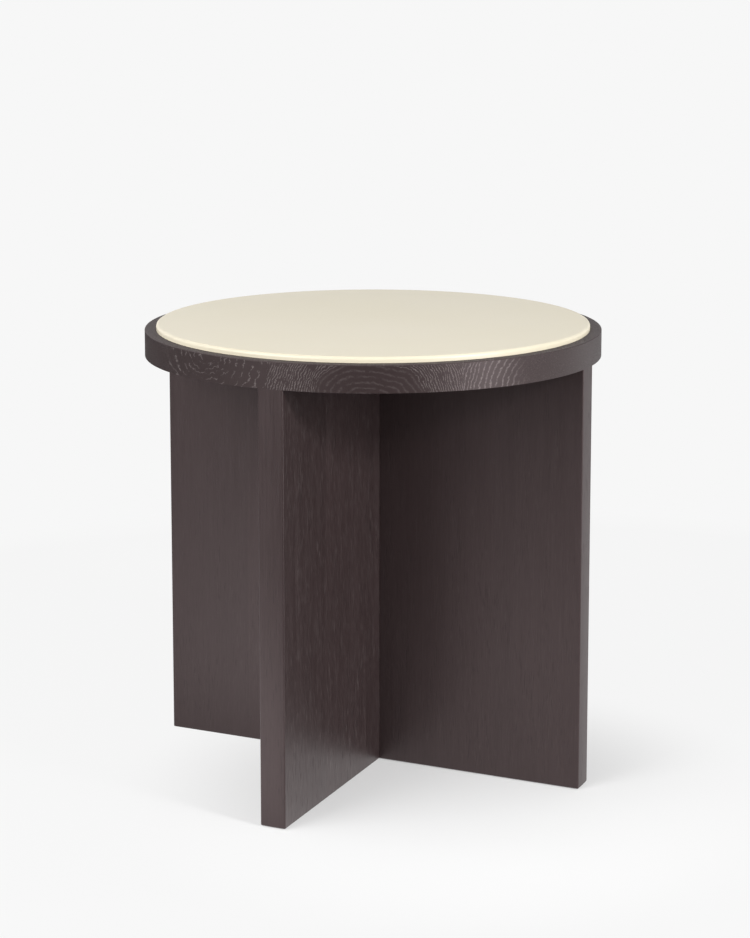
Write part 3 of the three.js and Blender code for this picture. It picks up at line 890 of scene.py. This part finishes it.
def make_plate(material):
    """The square plate, with bores for its bolts and seats for its screws."""
    bm = block((-PLATE_HALF, -PLATE_HALF, PLATE_UNDERSIDE), (PLATE_HALF, PLATE_HALF, RIM_UNDERSIDE))

    def is_upright(edge):
        return abs(edge.verts[0].co.z - edge.verts[1].co.z) > MM

    ease(bm, [edge for edge in bm.edges if is_upright(edge)], PLATE_CORNER_ROUND, 2 * ROUND_STEPS)
    outline = [edge for edge in bm.edges if not is_upright(edge) and edge.calc_face_angle(0) > 1]
    ease(bm, outline, SMALL_ROUND, 2)
    bore = rod(BOLT_SHANK_RADIUS + FIT_GAP, PLATE_UNDERSIDE - OVERRUN, RIM_UNDERSIDE + OVERRUN)
    bolts = [Vector((*centre(node)[:2], 0)) for node in BOLTS]
    heads = [Vector((*centre(node)[:2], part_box(node)[1][2])) for node in PLATE_SCREWS]
    cut_away(bm, copies(bore, bolts) + copies(screw(PLATE_SCREW, FIT_GAP), heads))
    piece("plate", bm, material, ["mounting_plate"])


def make_bolts(material):
    """Button-head bolts that hang head down, with hexagonal key holes."""
    head, shank, length = BOLT_HEAD_RADIUS, BOLT_SHANK_RADIUS, BOLT_HEIGHT - BOLT_HEAD_HEIGHT
    bm = turned([
        (0, -BOLT_HEAD_HEIGHT),
        (head, -BOLT_HEAD_HEIGHT),
        (head, 0),
        (shank, 0),
        (shank, length),
        (0, length),
    ], SMALL_STEPS)
    ease(bm, ring_edges(bm, head, -BOLT_HEAD_HEIGHT), BOLT_HEAD_HEIGHT - SMALL_ROUND, 2 * ROUND_STEPS)
    ease(bm, ring_edges(bm, shank, length), 2 * SMALL_ROUND, 1)
    key_radius = BOLT_KEY_WIDTH / 2 / math.cos(math.pi / 6)
    cut_away(bm, [rod(key_radius, -BOLT_HEAD_HEIGHT - OVERRUN, BOLT_KEY_DEPTH - BOLT_HEAD_HEIGHT, 6)])
    repeat("bolt", bm, material, BOLTS)


def ring(radius, height):
    """A ring round a bolt's bore, with its edges eased."""
    bore = BOLT_SHANK_RADIUS + FIT_GAP
    bm = turned([(bore, 0), (radius, 0), (radius, height), (bore, height)], SMALL_STEPS, closed=True)
    ease(bm, ring_edges(bm, radius, 0) + ring_edges(bm, radius, height), SMALL_ROUND, 2)
    return bm


def cross_screw(size):
    """A countersunk screw with a cross recess."""
    bm = screw(size)
    arm, wall = CROSS_ARM * size["head"], CROSS_WALL * size["head"]
    depth = CROSS_DEPTH * size["head_height"]
    cut_away(bm, [block((-arm, -wall, -depth), (arm, wall, OVERRUN))])
    cut_away(bm, [block((-wall, -arm, -depth), (wall, arm, OVERRUN))])
    return bm


def make_glides():
    bm = rod(GLIDE_RADIUS, 0, GLIDE_THICKNESS, 2 * SMALL_STEPS)
    ease(bm, ring_edges(bm, GLIDE_RADIUS, 0), GLIDE_ROUND, 3)
    cut_away(bm, [moved(screw(GLIDE_SCREW, FIT_GAP), (0, 0, GLIDE_SCREW_SUNK), math.pi, "X")])
    cut_away(bm, [rod(GLIDE_SCREW["head"] + FIT_GAP, -OVERRUN, GLIDE_SCREW_SUNK)])
    repeat("glide_disc", bm, speckled_material("nylon"), GLIDES)


def make_hardware():
    black, zinc, brass = [speckled_material(name) for name in ("black_steel", "zinc_steel", "brass")]
    make_pads()
    make_dowels()
    make_plate(black)
    make_bolts(black)
    repeat("washer", ring(WASHER_RADIUS, WASHER_THICKNESS), zinc, WASHERS)
    repeat("insert", ring(INSERT_RADIUS, INSERT_LENGTH), brass, INSERTS)
    repeat("plate_wood_screw", cross_screw(PLATE_SCREW), zinc, PLATE_SCREWS)
    make_glides()
    upturned = moved(cross_screw(GLIDE_SCREW), (0, 0, 0), math.pi, "X")
    repeat("glide_wood_screw", upturned, zinc, GLIDE_SCREWS)


# Studio. Azimuths are in degrees from the camera's, towards the right.

BACKGROUND = 0.93  # linear, in place of pure white
SKY_LIGHT = 0.44
LAMP_DISTANCE = 2.6
LAMP_TARGET = Vector((0, 0, 0.3))
LAMPS = {  # azimuth, elevation, size in metres, power in watts
    "left_window": (-85, 31, 1.6, 12),
    "left_front": (-55, 31, 1.6, 38),
    "key": (-41, 22, 1.5, 21),
    "right_front": (47, 27, 0.35, 36),
    "right_low": (52, 10, 1.0, 33),
}
FLOOR_RADIUS, FLOOR_STEPS = 12.0, 96
PAPER = (0.74, 0.74, 0.74, 1)
# Painted dark paper, which the lacquer mirrors in front of the table and far to its left
PAINTED_DARK_PAPER = (0.08, 0.08, 0.08, 1)
MIRRORED = -49  # the way to the paper that the faces towards -Y mirror
# Parts of the paper painted brighter or darker for glossy rays only, to paint reflections into the
# lacquer of the faces towards -Y
PAPER_PARTS = {  # the way across a part's edge, where the edge is, and how soft
    "front": (0, 0.5, 0.5),
    "painted_bright": (MIRRORED, 0.1, 0.35),
    "past_painted_bright": (MIRRORED, 0.8, 0.7),
    "painted_strip": (MIRRORED, 0.05, 0.45),
    "past_painted_strip": (MIRRORED, 1.3, 1.0),
    "right_of_strip": (MIRRORED + 90, 0.13, 0.06),
    "left_of_strip": (MIRRORED - 90, 0.16, 0.12),
    "painted_glow_off": (MIRRORED - 90, 0.14, 0.25),
    "far_left": (-100, 1.1, 0.5),
}
SHADE_RIGHT, SHADE_AHEAD = 0.10, 0.15  # middle of the paper's shade from the table's


def heading(azimuth):
    """The level direction at an azimuth."""
    angle = CAMERA_AZIMUTH + math.radians(azimuth)
    return math.sin(angle), -math.cos(angle), 0


def make_lamp(name, azimuth, elevation, size, power):
    """A square lamp that looks at the table."""
    elevation = math.radians(elevation)
    across = LAMP_DISTANCE * math.cos(elevation)
    x, y, _ = heading(azimuth)
    offset = Vector((across * x, across * y, LAMP_DISTANCE * math.sin(elevation)))
    lamp = bpy.data.lights.new(name, "AREA")
    lamp.shape = "SQUARE"
    lamp.size = size
    lamp.energy = power
    made = bpy.data.objects.new(name, lamp)
    made.location = LAMP_TARGET + offset
    made.rotation_euler = (-offset).to_track_quat("-Z", "Y").to_euler()
    bpy.context.scene.collection.objects.link(made)


def make_world():
    """The plain background, an even light, and for glossy rays a sky that is darker ahead."""
    world = bpy.data.worlds.new("studio")
    bpy.context.scene.world = world
    world.use_nodes = True
    tree = world.node_tree
    rays = tree.nodes.new("ShaderNodeLightPath").outputs
    direction = tree.nodes.new("ShaderNodeTexCoord").outputs["Generated"]
    ahead = vector_calc(tree, "DOT_PRODUCT", direction, heading(0))
    glossy = rays["Is Glossy Ray"]
    mirrored = calc(tree, "MULTIPLY", glossy, remap(tree, ahead, -0.2, 0.45, 1.0, 0.3))
    seen = calc(tree, "MAXIMUM", mirrored, rays["Is Transmission Ray"])
    seen = calc(tree, "MAXIMUM", rays["Is Camera Ray"], seen)
    plain = calc(tree, "MULTIPLY", calc(tree, "SUBTRACT", 1, glossy), SKY_LIGHT)
    sky = tree.nodes["Background"]
    sky.inputs["Color"].default_value = (1, 1, 1, 1)
    strength = calc(tree, "MAXIMUM", plain, calc(tree, "MULTIPLY", seen, BACKGROUND))
    tree.links.new(strength, sky.inputs["Strength"])


def paper_material():
    """Pale paper with the table's soft shade. For glossy rays, parts of it are painted brighter or
    darker, which paints reflections into the lacquer.
    """
    material, tree, shader, place_of = new_material("paper")
    shader.inputs["Roughness"].default_value = 0.9
    shader.inputs["Specular IOR Level"].default_value = 0.1
    rays = tree.nodes.new("ShaderNodeLightPath").outputs
    camera, glossy = rays["Is Camera Ray"], rays["Is Glossy Ray"]
    past = {}
    for name, (azimuth, edge, softness) in PAPER_PARTS.items():
        reach = vector_calc(tree, "DOT_PRODUCT", place_of, heading(azimuth))
        past[name] = remap(tree, reach, edge, edge + softness)

    def changed(part, amount):
        """One, and more or less by an amount past the part's edge."""
        return calc(tree, "MULTIPLY_ADD", past[part], amount, 1)

    # Painted reflection: for glossy rays the glow is brighter in a patch and a strip towards MIRRORED.
    # For the camera it stays the even backdrop.
    painted_glow_gain = calc(tree, "MULTIPLY", changed("painted_bright", 0.45), changed("past_painted_bright", -0.5))
    painted_strip = calc(tree, "MULTIPLY", changed("painted_strip", 0.55), changed("past_painted_strip", -0.5))
    left_of_strip = calc(tree, "MULTIPLY", past["left_of_strip"], 0.7)
    off_strip = calc(tree, "MAXIMUM", past["right_of_strip"], left_of_strip)
    painted_glow_gain = calc(tree, "MULTIPLY", painted_glow_gain, blend_values(tree, off_strip, painted_strip, 1.0))
    strength = calc(tree, "MULTIPLY", blend_values(tree, glossy, 1.0, painted_glow_gain), BACKGROUND)
    backdrop_and_painted_glow = add(tree, "Emission", {"Color": (1, 1, 1, 1), "Strength": strength})

    # Painted shade: the paper is painted dark in front of the table, and for glossy rays far to its
    # left
    far_left = calc(tree, "MULTIPLY", glossy, past["far_left"])
    painted_dark = calc(tree, "MAXIMUM", past["front"], far_left)
    tree.links.new(blend(tree, painted_dark, PAPER, PAINTED_DARK_PAPER), shader.inputs["Base Color"])

    right, ahead = heading(90), heading(0)
    middle = [SHADE_RIGHT * a + SHADE_AHEAD * b for a, b in zip(right, ahead)]
    away = vector_calc(tree, "DISTANCE", place_of, middle)
    clear = remap(tree, away, 0.14, 0.44, 0.38, 0.95)
    clear = calc(tree, "MAXIMUM", clear, remap(tree, away, 0.4, 1.5))
    # Painted reflection: in front, and left of the strip, glossy rays see the plain paper without the
    # glow, though that paper is lit
    painted_glow_off = calc(tree, "MAXIMUM", past["front"], past["painted_glow_off"])
    mirrored = calc(tree, "MULTIPLY", glossy, calc(tree, "SUBTRACT", 1, painted_glow_off))
    share = calc(tree, "MAXIMUM", calc(tree, "MULTIPLY", camera, clear), mirrored)
    mix = add(tree, "MixShader", {0: share, 1: shader.outputs[0], 2: backdrop_and_painted_glow.outputs[0]})
    tree.links.new(mix.outputs[0], tree.nodes["Material Output"].inputs["Surface"])
    return material


def make_floor():
    """The paper that the table stands on."""
    bm = bmesh.new()
    bmesh.ops.create_circle(bm, cap_ends=True, segments=FLOOR_STEPS, radius=FLOOR_RADIUS)
    floor = to_object(bm, "floor")
    bm.free()
    floor.data.materials.append(paper_material())


def make_camera():
    data = bpy.data.cameras.new("camera")
    data.lens = LENS
    data.sensor_width = SENSOR_WIDTH
    data.shift_y = CAMERA_SHIFT_Y
    camera = bpy.data.objects.new("camera", data)
    bpy.context.scene.collection.objects.link(camera)
    x, y, _ = heading(0)
    camera.location = (CAMERA_DISTANCE * x, CAMERA_DISTANCE * y, CAMERA_HEIGHT)
    camera.rotation_euler = (QUARTER - CAMERA_PITCH, 0, CAMERA_AZIMUTH - CAMERA_YAW)
    bpy.context.scene.camera = camera


make_disc()
make_boards()
make_panels()
make_hardware()
for lamp, settings in LAMPS.items():
    make_lamp(lamp, *settings)
make_world()
make_floor()
make_camera()

bpy.context.scene.view_settings.view_transform = "Standard"
